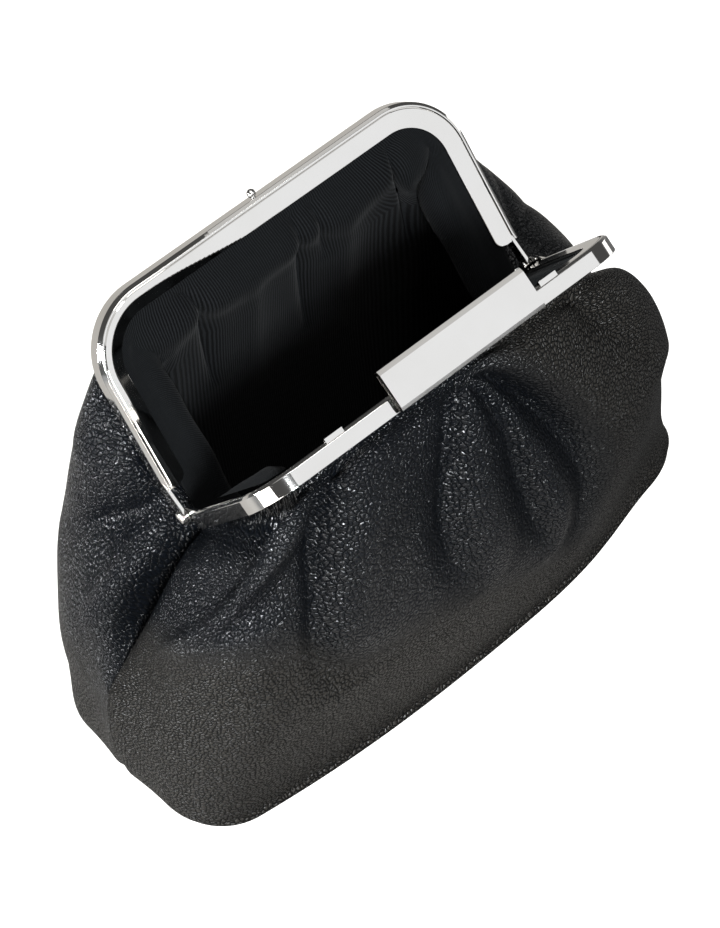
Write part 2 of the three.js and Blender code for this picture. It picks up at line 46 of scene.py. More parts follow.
# Frame
HINGE_HEIGHT = 108
OPEN_ANGLE = math.radians(52)
FRAME_WIDTH = 150.6
FRAME_REACH = 72.6
FRAME_CORNER = 23.8
FRONT_CORNER = 17
FRAME_DEPTH = 6
FRAME_WALL = 1
RIM_WALL = 1.2
BAND = 8.5
LEG_FOOT = 10
RIM_SLOPE = (1.0, 0.85)   # the sloped outer edge of the rim: across the face, and down the outside
GROOVE = {"inset": 1.5, "width": 0.7, "depth": 0.3}
FACE_STEPS = 18
BAR_STEPS = 60
FACE_ROLL = {"start": 2, "end": 48, "crease": 4.2, "slope": 0.32, "lift": 0.68}
FOOT_ROUND = 3.4          # rounding of the channel's leaves at the foot of each leg
CORNER_STEPS = 28
EDGE_SOFTNESS = 0.3       # rounding of the metal's edges
EDGE_STEPS = 3
SHARP_EDGE = math.radians(44)
METAL_SHARP = 30          # degrees between faces that stay sharp
FOOT_STEPS = 6
CLOSE = 0.01              # faces and corners are found by their place to within this

# Hinges
EAR_RADIUS = 3.2
EAR_WALL = 1.2
EAR_ROOT = 13
EAR_JOG = 1.5
EAR_SHOULDER = 0.25             # where the tongue begins, as a share of the radius
EAR_SOFTNESS = 0.2
RIVET_RADIUS = 1
RIVET_HEAD_RADIUS = 2.4
RIVET_HEAD = 1.4
RIVET_BRIM = 0.45               # height of the head's straight side
RIVET_CHAMFER = 0.1
DOME_POINTS = 8
TURNED_STEPS = 32
TURNED_SHARP = 50               # degrees

# Clasp, stop mark, tabs and stud
GAP = 0.3
SLIDE_CENTRE = 7.6
SLIDE_LENGTH = 59.2
SLIDE_THICK = 3
SLIDE_OVERHANG = 8.6
SLIDE_BACK_SLOPE = (1.6, 1.0)   # the sloped back edge: across the top, and down the back
SLIDE_FRONT_SLOPE = (1.2, 0.46)  # the sloped front edge
SLIDE_SOFTNESS = 0.15
SLIDE_SHARP = 15                # degrees
SLIDE_SHEET = 0.7               # wall seen at the open ends
SLIDE_HOLLOW = 9                # how far the ends are open
STOP_MARK = {"x": -24.4, "width": 1.0, "depth": 1.0, "margin": 0.9}
TAB = {"place": 44, "length": 7, "rise": 0.5, "reach": 1.2, "height": 1.6}
STUD = {"depth": 2.2, "stem": 0.8, "stem_height": 0.4, "ball": 1.5, "ball_rise": 1.2, "shank": 1.6}
BALL_START = -54                # degrees, where the ball grows out of its stem
BALL_STEPS = 14

# Leather and lining
LEATHER = 1.8
TWILL = 1.1
LEATHER_DEPTH = FRAME_DEPTH - FRAME_WALL - GAP
TWILL_DEPTH = LEATHER_DEPTH - LEATHER - GAP
SEAM_HOLD = 8                   # how suddenly the folds die out towards a seam
SEAM_DIP = {"depth": 1.3, "width": 2.2, "first_row": 1.6, "clear": 6}
FOLD_FADE = 0.8
FOLD_GAIN = 1.25
BROAD_FOLD = 15                 # a fold this wide is a round dent and not a crease
CREASE_PINCH = 1.7
CREASE_ROUND = 0.2
RIB_PITCH = 0.00086
RIB_LEAN = math.tan(math.radians(33))
RIB_LEAN_END = 0.032
RIB_LEAN_MIDDLE = 0.12
RIB_TURN = (0.2, 0.6)           # where in S the ribs turn from the middle's lean to the sides'
ROUNDEST = 0.95
OUTLINE_STEPS = 40
ROW_SAMPLES = 600               # rows and S at which the way down a panel is measured
ROW_SAMPLE_S = (-0.7, 0.0, 0.7)
FRONT, BACK = -1, 1
FRONT_MESH = (250, 195)         # steps from seam to seam, and from the frame to the base
BACK_MESH = (220, 170)
LINING_MESH = (200, 150)
SECTION_KEYS = ("seam_z", "front_z", "front_y", "seam_x", "side_x", "corner", "bow")


def channel_section(inset, depth):
    """The section of a panel inside the frame's channel, its outer face that deep from the mouth side."""
    reach = FRAME_REACH - inset
    half = FRAME_WIDTH / 2 - inset
    return (
        HINGE_HEIGHT - depth / math.cos(OPEN_ANGLE),
        HINGE_HEIGHT + reach * math.sin(OPEN_ANGLE) - depth * math.cos(OPEN_ANGLE),
        reach * math.cos(OPEN_ANGLE) + depth * math.sin(OPEN_ANGLE),
        half, half, FRAME_CORNER - inset, 0,
    )


# Sections of a panel from the frame to the middle of the base, in SECTION_KEYS' order.
# Each lies in a plane through the seam line at seam_z.
FRONT_SECTIONS = [
    channel_section(5, LEATHER_DEPTH),
    channel_section(9.4, LEATHER_DEPTH),
    (95, 150.3, 43.5, 69, 66, 15, 0),
    (90, 147, 49, 82, 82, 26, 1),
    (81, 130, 54.5, 95, 94, 34, 2),
    (68, 105, 59, 107, 103, 40, 3),
    (52, 75, 61.5, 115, 108, 42, 4),
    (34, 45, 58.5, 118, 112, 36, 6),
    (16, 19, 53.5, 118, 114, 29, 7),
    (2.6, 3.2, 50.5, 116, 114, 23, 7),
    (0, 0, 48, 113, 111, 20, 6),
    (0, 0, 0, 107, 107, 0.1, 0),
]
BACK_SIDE_X = {3: 79, 4: 90, 5: 100}
BACK_SECTIONS = [
    (*row[:4], BACK_SIDE_X.get(i, row[4]), *row[5:]) for i, row in enumerate(FRONT_SECTIONS)
]
LINING_SECTIONS = [
    channel_section(6, TWILL_DEPTH),
    channel_section(11.5, TWILL_DEPTH),
    (98, 147, 39, 60, 60, 13, 0),
    (90, 136, 42, 66, 68, 22, 1),
    (77, 112, 43, 82, 81, 30, 2),
    (58, 80, 43, 96, 90, 36, 4),
    (36, 44, 42, 104, 96, 36, 5),
    (14, 16, 41, 106, 100, 30, 6),
    (2.4, 2.4, 36, 102, 97, 22, 5),
    (2.4, 2.4, 0, 98, 98, 0.1, 0),
]

# Folds: top S, top row, foot S, foot row, top width, foot width, depth inwards.
# S runs from -1 at the left seam to 1 at the right one, and rows count the sections.
SEAM_FOLDS = [
    (-1, 2.5, -1, 6.2, 8, 12, 6),
    (1, 2.5, 1, 6.2, 8, 12, 6),
]
FRONT_DENTS = SEAM_FOLDS + [
    (-0.60, 1.2, -0.64, 4.8, 20, 22, 14),
    (0.62, 5.4, 0.66, 8.9, 26, 30, 7.5),
]
# Where the foot of the front is drawn back: S, width in S, share
FRONT_FOOT = [(0.68, 0.24, 0.19), (0.2, 0.5, 0.05)]
FOOT_ROWS = (6.6, 9.6)
# Lines of the gathers on the front, each from the frame down: row, S, width, depth
FRONT_VALLEYS = [
    [(2.0, -0.33, 5, 0), (2.4, -0.33, 6, 6), (3.3, -0.355, 8, 10), (4.0, -0.39, 10, 11),
     (4.8, -0.42, 11, 10), (5.6, -0.445, 12, 8), (6.2, -0.43, 12, 5), (6.7, -0.38, 12, 0)],
    [(2.0, 0.03, 5, 0), (2.5, 0.03, 6, 7), (3.6, -0.015, 8, 9), (4.4, -0.055, 9, 8), (5.0, -0.08, 10, 7),
     (5.8, -0.08, 12, 5), (6.6, -0.04, 12, 0)],
    [(2.4, 0.055, 5, 0), (2.8, 0.055, 5, 5), (3.7, 0.09, 6, 7), (4.4, 0.11, 7, 6.5), (5.3, 0.12, 8, 6),
     (6.3, 0.155, 9, 4.5), (7.1, 0.20, 10, 0)],
    [(2.3, 0.07, 5, 0), (2.8, 0.085, 5, 7), (3.7, 0.145, 7, 10), (4.5, 0.205, 9, 10), (5.4, 0.27, 11, 8),
     (6.3, 0.305, 12, 6), (7.2, 0.295, 13, 3), (7.8, 0.27, 13, 0)],
    [(2.0, 0.40, 8, 0), (2.4, 0.40, 9, 6), (3.5, 0.395, 10, 7), (4.2, 0.435, 11, 6), (4.9, 0.51, 12, 3),
     (5.5, 0.57, 12, 0)],
]
FRONT_RIDGES = [
    [(2.0, -0.42, 9, 0), (2.8, -0.45, 10, 5), (3.5, -0.49, 11, 7), (4.0, -0.58, 12, 7),
     (4.4, -0.68, 13, 6), (4.8, -0.78, 14, 4), (5.4, -0.86, 14, 0)],
    [(2.0, -0.25, 14, 0), (2.8, -0.26, 15, 3), (3.9, -0.29, 16, 4), (4.7, -0.35, 16, 4.5),
     (5.5, -0.38, 16, 4), (6.4, -0.35, 16, 0)],
    [(2.8, 0.0, 7, 0), (3.5, 0.01, 8, 2), (4.4, 0.0, 9, 3), (5.4, 0.01, 10, 3), (6.6, 0.03, 11, 0)],
    [(3.4, 0.09, 6, 0), (4.3, 0.125, 7, 2), (5.3, 0.18, 8, 3), (6.2, 0.21, 9, 3), (7.4, 0.22, 10, 0)],
    [(2.0, 0.10, 11, 0), (2.6, 0.12, 12, 4), (3.4, 0.20, 13, 5), (4.2, 0.28, 14, 5), (5.2, 0.35, 15, 4),
     (6.2, 0.40, 16, 2), (7.2, 0.42, 16, 0)],
]
# Where the gathered leather of the front turns smooth and its colour takes a painted sheen: row by S
FRONT_BELLY = [(-1, 4.6), (-0.78, 4.8), (-0.6, 5.2), (-0.48, 5.5), (-0.42, 6.0), (-0.35, 6.3),
               (-0.16, 6.4), (-0.02, 6.7), (0.10, 7.0), (0.27, 7.6), (1, 7.6)]
BELLY_BLEND = (-0.5, 0.4)       # rows over which it turns
LAST_VALLEY = 3                 # the valley to the right of which the front is smooth, and the blend in S
RIGHT_BLEND = (0.0, 0.14)
BACK_BELLY = {"rows": (4.8, 8.4), "sway": 0.5, "waves": 9}
LINE_STEPS = 80
LINE_BLEND = 3
BACK_FOLDS = SEAM_FOLDS + [
    (-0.60, 2.6, -0.62, 6.0, 26, 26, 0.8),
    (-0.38, 2.1, -0.50, 5.6, 7, 10, 6),
    (-0.22, 2.1, -0.32, 6.4, 12, 16, -5),
    (-0.06, 2.1, -0.08, 6.4, 7, 10, 6),
    (0.10, 2.1, 0.14, 6.6, 12, 16, -5),
    (0.26, 2.1, 0.34, 5.8, 7, 10, 6),
    (0.80, 3.8, 0.80, 7.4, 26, 26, -5),
]
# Lines of the gathers by the left hinge on the back, weaker by the right one: row, S, width, depth
BACK_VALLEYS = [
    [(2.2, -0.88, 5, 0), (2.8, -0.87, 6, 6), (3.4, -0.85, 8, 8), (4.1, -0.81, 9, 8), (4.9, -0.74, 10, 5),
     (5.8, -0.66, 12, 0)],
]
BACK_RIDGES = [
    [(2.4, -0.94, 6, 0), (3.2, -0.945, 8, 5), (4.2, -0.93, 10, 9), (5.2, -0.90, 11, 8),
     (6.1, -0.85, 12, 4), (7.6, -0.78, 14, 0)],
    [(2.0, -0.70, 8, 0), (2.6, -0.72, 9, 3), (3.0, -0.74, 10, 4), (3.6, -0.70, 12, 3),
     (4.4, -0.62, 14, 0)],
]
RIGHT_SHARE = 0.25
LINING_FOLDS = [
    (-0.42, 1.8, -0.38, 5.0, 9, 14, 1.5),
    (-0.12, 1.8, -0.10, 5.0, 9, 14, 2.5),
    (0.22, 1.8, 0.20, 5.0, 9, 14, 2.5),
    (0.48, 1.8, 0.44, 5.0, 9, 14, 2),
]
FRONT_LINING_FOLDS = LINING_FOLDS + [
    (-0.60, 1.2, -0.62, 4.8, 24, 26, 7),
]
# Tucks where the lining is gathered into the frame: S at the frame, S below, rows, width, depth outwards
LINING_TUCKS = [
    (-0.52, -0.48, 2.6, 4.0, 2.0),
    (-0.31, -0.25, 4.4, 3.2, 5.0),
    (0.06, 0.08, 4.6, 2.8, 4.5),
    (0.13, 0.15, 3.4, 2.6, 3.5),
    (0.40, 0.44, 4.2, 3.0, 4.5),
    (0.55, 0.56, 4.6, 3.6, 6.0),
]
LINING_ROLL = {"depth": 6.5, "front": 0.2, "first_row": 0.9, "top_row": 2.1, "last_row": 5.6}
LINING_CORNER = (0.44, 0.66)    # where in S the front's thin roll grows full towards the corners
LINING_WAVES = {"share": 0.1, "short": 21, "long": 8}
TUCK_FADE = 0.6

# Grain of the leather: cells to the metre, how far their edges wander, and depth in metres
PEBBLES = 610
SMALL_PEBBLES = 1250
FINE_GRAIN = 850
PORES = 3600
WANDER = {"scale": 420, "reach": 0.0021}
GRAIN_DEPTH = 0.0006

# Camera and light
CAMERA_AIM = Vector((-8.3, -6.4, 80))
CAMERA_DISTANCE = 1286.9
CAMERA_YAW = math.radians(35.56)
CAMERA_ELEVATION = math.radians(53.34)
CAMERA_ROLL = math.radians(-6.65)
CAMERA_LENS = 151.7
CAMERA_SENSOR = 36
CAMERA_FAR = 20
SKY = 0.07
SKY_TINT = (1.0, 0.99, 0.975)
FLOOR_SIZE = 6
FLOOR_POOL = (0.10, 0.28, 0)    # middle of the light on the ground, and where it begins and ends to fade
FLOOR_FADE = (0.48, 0.8)
FLOOR_GREY = 0.25
FLOOR_GLOW = (1.03, 1.01, 0.98)
FLOOR_FAR = (0.1, 0.1, 0.1)
BOUNCE_DROP = 0.001             # how far the bounce sheet lies under the floor
BOUNCE_GREY = 0.02
BOUNCE_GLOW = (0.48, 0.46, 0.43)
BOUNCE_WAY = (0.718, -0.696, 0)  # across the sheet to the front edge of its light, and where that fades
BOUNCE_EDGE = (0.02, 0.12)
# Soft boxes: name, direction from the bag, distance and size in metres, brightness, colour
SOFT_BOXES = [
    ("front_box", (0.38, -0.8, 0.5), 1.3, (1.4, 1.15), 0.7, (0.965, 0.98, 1.0)),
    ("key_box", (-0.32, -0.74, 0.58), 1.2, (0.26, 0.2), 155.0, (0.93, 0.97, 1.0)),
    ("fill_panel", (0.15, -0.35, 0.92), 1.2, (0.5, 0.4), 4.0, (1.0, 0.99, 0.97)),
    ("top_panel", (-0.1, 0.1, 1.0), 1.2, (1.9, 1.3), 0.42, (1.0, 0.99, 0.97)),
    ("top_box", (-0.1, 0.15, 0.97), 1.1, (0.22, 0.22), 8.0, (0.9, 0.955, 1.0)),
    ("left_box", (-0.95, 0.4, 0.26), 1.0, (0.24, 0.24), 105.0, (0.93, 0.97, 1.0)),
    ("right_card", (0.98, 0.04, -0.12), 0.53, (0.34, 0.14), 1.1, (1.0, 0.99, 0.97)),
    ("left_panel", (-0.95, -0.4, 0.12), 1.0, (0.8, 0.5), 5.0, (1.0, 0.97, 0.93)),
]


class Value:
    """A shader socket. Arithmetic on it adds Math nodes."""

    def __init__(self, finish, socket):
        self.finish = finish
        self.socket = socket

    def __add__(self, other):
        return self.finish.maths("ADD", self, other)

    def __radd__(self, other):
        return self.finish.maths("ADD", other, self)

    def __sub__(self, other):
        return self.finish.maths("SUBTRACT", self, other)

    def __rsub__(self, other):
        return self.finish.maths("SUBTRACT", other, self)

    def __mul__(self, other):
        return self.finish.maths("MULTIPLY", self, other)

    def __rmul__(self, other):
        return self.finish.maths("MULTIPLY", other, self)


class Finish:
    """A material in the making."""

    def __init__(self, name):
        self.material = bpy.data.materials.new(name)
        self.material.use_nodes = True
        self.tree = self.material.node_tree
        self.tree.nodes.clear()

    def node(self, kind, settings=None, sockets=None, output=0):
        """A node of that kind, its settings set first and then its sockets' values or links."""
        made = self.tree.nodes.new(kind)
        for name, value in (settings or {}).items():
            setattr(made, name, value)
        for name, value in (sockets or {}).items():
            self.feed(made.inputs[name], value)
        return Value(self, made.outputs[output]) if made.outputs else None

    def feed(self, socket, value):
        if isinstance(value, Value):
            self.tree.links.new(value.socket, socket)
        else:
            socket.default_value = value

    def maths(self, operation, *values):
        return self.node("ShaderNodeMath", {"operation": operation}, dict(enumerate(values)))

    def vector_maths(self, operation, *values):
        return self.node("ShaderNodeVectorMath", {"operation": operation}, dict(enumerate(values)))

    def ramp(self, value, low, high):
        """0 below low and 1 above high, smoothly."""
        sockets = {"Value": value, "From Min": low, "From Max": high}
        return self.node("ShaderNodeMapRange", {"interpolation_type": "SMOOTHSTEP"}, sockets)

    def mix(self, share, a, b):
        """From number a to number b."""
        return self.node("ShaderNodeMix", {"data_type": "FLOAT"}, {0: share, 2: a, 3: b})

    def tint(self, share, a, b):
        """From colour a to colour b."""
        return self.node("ShaderNodeMix", {"data_type": "RGBA"}, {0: share, 6: a, 7: b}, output=2)

    def bump(self, height, strength, distance):
        sockets = {"Height": height, "Strength": strength, "Distance": distance}
        return self.node("ShaderNodeBump", None, sockets)

    def shader(self, **sockets):
        """A Principled shader with those sockets, spaces written as underscores."""
        named = {name.replace("_", " "): value for name, value in sockets.items()}
        return self.node("ShaderNodeBsdfPrincipled", None, named)

    def done(self, shader):
        self.node("ShaderNodeOutputMaterial", None, {"Surface": shader})
        return self.material


def colour(r, g, b):
    return (r, g, b, 1)


def pebbled_leather():
    """Black tumbled leather: glossy pebbles between matt cracks where it gathers, finer and flatter where
    it is drawn smooth. The cracks are painted shade, near black and almost without reflection. The colour
    is lighter and warmer where the leather is drawn smooth, as a painted sheen, against bluish black
    where it gathers."""
    f = Finish("pebbled_leather")
    cut = f.node("ShaderNodeUVMap", {"uv_map": "cut"})
    # the drawn mask sets the smoother grain, and also where the colour below takes its painted sheen
    drawn = f.node("ShaderNodeAttribute", {"attribute_name": "drawn"}, output=2)
    drift = {"Vector": cut, "Scale": WANDER["scale"], "Detail": 3}
    drift = f.node("ShaderNodeTexNoise", None, drift, output=1)
    drift = f.vector_maths("SUBTRACT", drift, (0.5, 0.5, 0.5))
    drift = f.node("ShaderNodeVectorMath", {"operation": "SCALE"}, {0: drift, "Scale": WANDER["reach"]})
    wandering = f.vector_maths("ADD", cut, drift)
    edges = {"voronoi_dimensions": "2D", "feature": "DISTANCE_TO_EDGE"}
    pebbles = f.node("ShaderNodeTexVoronoi", edges, {"Vector": wandering, "Scale": PEBBLES})
    small = f.node("ShaderNodeTexVoronoi", edges, {"Vector": wandering, "Scale": SMALL_PEBBLES})
    stretched = f.node("ShaderNodeMapping", None, {"Vector": wandering, "Scale": (0.75, 0.86, 1)})
    fine = f.node("ShaderNodeTexVoronoi", edges, {"Vector": stretched, "Scale": FINE_GRAIN})
    pores = f.node("ShaderNodeTexNoise", None, {"Vector": cut, "Scale": PORES, "Detail": 2})
    raised = f.ramp(pebbles, 0.0, 0.2) * 0.35 + f.ramp(pebbles, 0.0, 0.6) * 0.55
    raised = raised + f.ramp(small, 0.0, 0.2) * 0.1
    flat = f.ramp(fine, 0.0, 0.25) * 0.5 + f.ramp(fine, 0.0, 0.5) * 0.4
    height = f.mix(drawn, raised, flat) + pores * 0.05
    # painted shade: the cracks between the pebbles are darkened, as the shade that falls in the grain's
    # recesses
    crack_shade = f.ramp(pebbles, -0.02, 0.18) * (f.ramp(small, -0.05, 0.08) * 0.3 + 0.7)
    gloss = f.mix(drawn, crack_shade, f.ramp(fine, -0.02, 0.26))
    patches = f.node("ShaderNodeTexNoise", None, {"Vector": cut, "Scale": 45, "Detail": 3})
    normal = f.bump(height, 1.0, GRAIN_DEPTH)
    # painted sheen: the base colour is lighter and warmer where the leather is drawn smooth and bluish
    # black where it gathers, standing in for the light it reflects
    tone = f.tint(drawn * 0.8, colour(0.0022, 0.0028, 0.004), colour(0.0165, 0.0146, 0.012))
    pebble_top = f.shader(
        Base_Color=tone,
        Roughness=f.mix(drawn, 0.13, 0.36) + (patches - 0.5) * 0.08,
        Specular_IOR_Level=0.3,
        Normal=normal,
    )
    # painted shade for the cracks: near black and almost without reflection; only its rough, matt surface
    # is the cracks' own
    shaded_crack = f.shader(
        Base_Color=colour(0.002, 0.0022, 0.0025),
        Roughness=0.8,
        Specular_IOR_Level=0.03,
        Normal=normal,
    )
    return f.done(f.node("ShaderNodeMixShader", None, {0: gloss, 1: shaded_crack, 2: pebble_top}))


def charcoal_twill():
    """Charcoal cotton twill: fine ribs, each broken into short floats."""
    f = Finish("charcoal_twill")
    cut = f.node("ShaderNodeUVMap", {"uv_map": "cut"})
    rib = f.node("ShaderNodeAttribute", {"attribute_name": "rib"}, output=2)
    down = f.node("ShaderNodeSeparateXYZ", None, {"Vector": cut}, output=1)
    slub = f.node("ShaderNodeTexNoise", None, {"Vector": cut, "Scale": 330, "Detail": 2})
    ribs = f.maths("SINE", (rib + slub * 0.00025) * (2 * math.pi / RIB_PITCH))
    floats = f.maths("SINE", (down + rib * 0.5) * (2 * math.pi / RIB_PITCH))
    weave = ribs * 0.44 + floats * 0.06 + 0.5
    fuzz = f.node("ShaderNodeTexNoise", None, {"Vector": cut, "Scale": 5200, "Detail": 2})
    worn = f.node("ShaderNodeTexNoise", None, {"Vector": cut, "Scale": 60, "Detail": 3})
    tone = f.tint(f.ramp(weave, 0.2, 0.9), colour(0.0005, 0.0006, 0.0007), colour(0.0066, 0.0073, 0.0081))
    tone = f.tint(worn * 0.3, tone, colour(0.0024, 0.0027, 0.003))
    return f.done(f.shader(
        Base_Color=tone,
        Roughness=0.78 + fuzz * 0.15,
        Specular_IOR_Level=0.04,
        Sheen_Weight=0.02,
        Sheen_Roughness=0.5,
        Normal=f.bump(weave + fuzz * 0.25, 0.7, 0.0002),
    ))


def polished_nickel():
    """Mirror-polished nickel with faint handling marks."""
    f = Finish("polished_nickel")
    place = f.node("ShaderNodeTexCoord", output=3)
    drawn = f.node("ShaderNodeMapping", None, {"Vector": place, "Scale": (0.08, 1, 1)})
    hairlines = f.node("ShaderNodeTexNoise", None, {"Vector": drawn, "Scale": 2600, "Detail": 2})
    smudges = f.node("ShaderNodeTexNoise", None, {"Vector": place, "Scale": 55, "Detail": 3})
    tone = f.tint(smudges, colour(0.80, 0.785, 0.76), colour(0.87, 0.86, 0.845))
    return f.done(f.shader(
        Base_Color=tone,
        Metallic=1.0,
        Roughness=0.03 + smudges * 0.04 + hairlines * 0.02,
        Normal=f.bump(smudges, 0.02, 0.0004),
    ))


LOOKS = {"leather": pebbled_leather(), "twill": charcoal_twill(), "polished_metal": polished_nickel()}


def finish_piece(bm, name, body, slot, nodes, place=None, sharp=METAL_SHARP):
    """Makes the piece's object from a bmesh in millimetres and settles what it stands for."""
    if place is not None:
        bm.transform(place)
    bm.transform(Matrix.Scale(MM, 4))
    mesh = bpy.data.meshes.new(name)
    bm.to_mesh(mesh)
    bm.free()
    mesh.shade_smooth()
    if sharp:
        mesh.set_sharp_from_angle(angle=math.radians(sharp))
    mesh.materials.append(LOOKS[slot])
    piece = bpy.data.objects.new(name, mesh)
    bpy.context.scene.collection.objects.link(piece)
    if sharp:
        flats = piece.modifiers.new("flat_faces", "WEIGHTED_NORMAL")
        flats.keep_sharp = True
    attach(piece, body)
    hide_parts(*nodes)
    return piece


def sections_at(table, rows):
    """The sections at fractional rows, on smooth curves through the table."""
    values = np.array(table, float)
    padded = np.vstack([2 * values[0] - values[1], values, 2 * values[-1] - values[-2]])
    i = np.clip(np.floor(rows).astype(int), 0, len(values) - 2)
    t = (rows - i)[:, None]
    p0, p1, p2, p3 = (padded[i + k] for k in range(4))
    bend = 2 * p0 - 5 * p1 + 4 * p2 - p3
    twist = 3 * p1 - p0 - 3 * p2 + p3
    return (2 * p1 + (p2 - p0) * t + bend * t**2 + twist * t**3) / 2


def half_outline(section):
    """Half of a section in its own plane: the bowed front, the corner and the leg to the seam."""
    reach = math.hypot(section["front_y"], section["front_z"] - section["seam_z"])
    corner = min(section["corner"], ROUNDEST * reach)
    flat = section["side_x"] - corner
    turn = math.atan2(2 * section["bow"], flat)
    foot = reach - section["bow"] - corner * math.cos(turn)
    t = np.arange(OUTLINE_STEPS) / OUTLINE_STEPS
    t_end = np.arange(OUTLINE_STEPS + 1) / OUTLINE_STEPS
    angle = (math.pi / 2 - turn) * (1 - t)
    across = [
        (flat + corner * math.sin(turn)) * t,
        flat + corner * np.cos(angle),
        section["side_x"] + (section["seam_x"] - section["side_x"]) * t_end**2,
    ]
    away = [reach - section["bow"] * t**2, foot + corner * np.sin(angle), foot * (1 - t_end)]
    return np.concatenate(across), np.concatenate(away)


def panel_places(table, side, s, rows):
    """The smooth outer surface on a grid of rows and S, with each row's length from middle to seam."""
    places = np.empty((len(rows), len(s), 3))
    spans = np.empty(len(rows))
    floor = table[-1][0]
    for r, values in enumerate(sections_at(table, rows)):
        section = dict(zip(SECTION_KEYS, values))
        across, away = half_outline(section)
        along = np.concatenate([[0], np.cumsum(np.hypot(np.diff(across), np.diff(away)))])
        tilt = math.atan2(section["front_z"] - section["seam_z"], section["front_y"])
        reach = np.interp(np.abs(s) * along[-1], along, away)
        places[r, :, 0] = np.sign(s) * np.interp(np.abs(s) * along[-1], along, across)
        places[r, :, 1] = side * np.maximum(reach * math.cos(tilt), 0)
        places[r, :, 2] = np.maximum(section["seam_z"] + reach * math.sin(tilt), floor)
        spans[r] = along[-1]
    return places, spans


def crease(share):
    """The pinched profile across a crease, 1 in the middle."""
    return np.exp(-CREASE_PINCH * (np.sqrt(share**2 + CREASE_ROUND**2) - CREASE_ROUND))


def fold_depths(folds, s, rows, spans):
    """Depth of the folds: valleys are pinched into creases and ridges are round."""
    depth = np.zeros((len(rows), len(s)))
    for top_s, top_row, foot_s, foot_row, top_width, foot_width, deep in folds:
        t = np.clip((rows - top_row) / (foot_row - top_row), 0, 1)[:, None]
        offset = (s[None, :] - (top_s + (foot_s - top_s) * t)) * spans[:, None]
        share = offset / (top_width + (foot_width - top_width) * t)
        if deep > 0 and top_width < BROAD_FOLD:
            profile = FOLD_GAIN * crease(share)
        else:
            profile = np.exp(-(share**2))
        depth += deep * np.sin(math.pi * t) ** FOLD_FADE * profile
    return depth


def line_depths(lines, s, rows, spans, pinched):
    """Depth along traced lines: the valleys are pinched into creases and the ridges are round."""
    total = np.zeros((len(rows), len(s)))
    for nodes in lines:
        line = sections_at(nodes, np.linspace(0, len(nodes) - 1, LINE_STEPS))
        middle, width, deep = (np.interp(rows, line[:, 0], line[:, k])[:, None] for k in (1, 2, 3))
        share = (s[None, :] - middle) * spans[:, None] / width
        if pinched:
            profile = crease(share)
        else:
            profile = np.exp(-(share**2))
        total += (np.maximum(deep, 0) * profile) ** LINE_BLEND
    return total ** (1 / LINE_BLEND)


def outward_normals(places, side):
    """Unit normals of the grid, out of the bag."""
    across = np.gradient(places, axis=1)
    down = np.gradient(places, axis=0)
    normals = side * np.cross(across, down)
    return normals / np.maximum(np.linalg.norm(normals, axis=2, keepdims=True), 1e-9)


def even_rows(table, side, count):
    """Fractional rows at even distances down the panel, with those distances."""
    fine = np.linspace(0, len(table) - 1, ROW_SAMPLES)
    places, _ = panel_places(table, side, np.array(ROW_SAMPLE_S), fine)
    steps = np.linalg.norm(np.diff(places, axis=0), axis=2).mean(axis=1)
    along = np.concatenate([[0], np.cumsum(steps)])
    lengths = np.linspace(0, along[-1], count)
    return np.interp(lengths, along, fine), lengths


def smooth_step(values, low, high):
    """0 below low and 1 above high, smoothly."""
    t = np.clip((values - low) / (high - low), 0, 1)
    return t * t * (3 - 2 * t)


def keep_values(mesh, name, values):
    """Keeps one number for each vertex, which a material reads by name."""
    mesh.attributes.new(name, "FLOAT", "POINT").data.foreach_set("value", values.astype(np.float32))


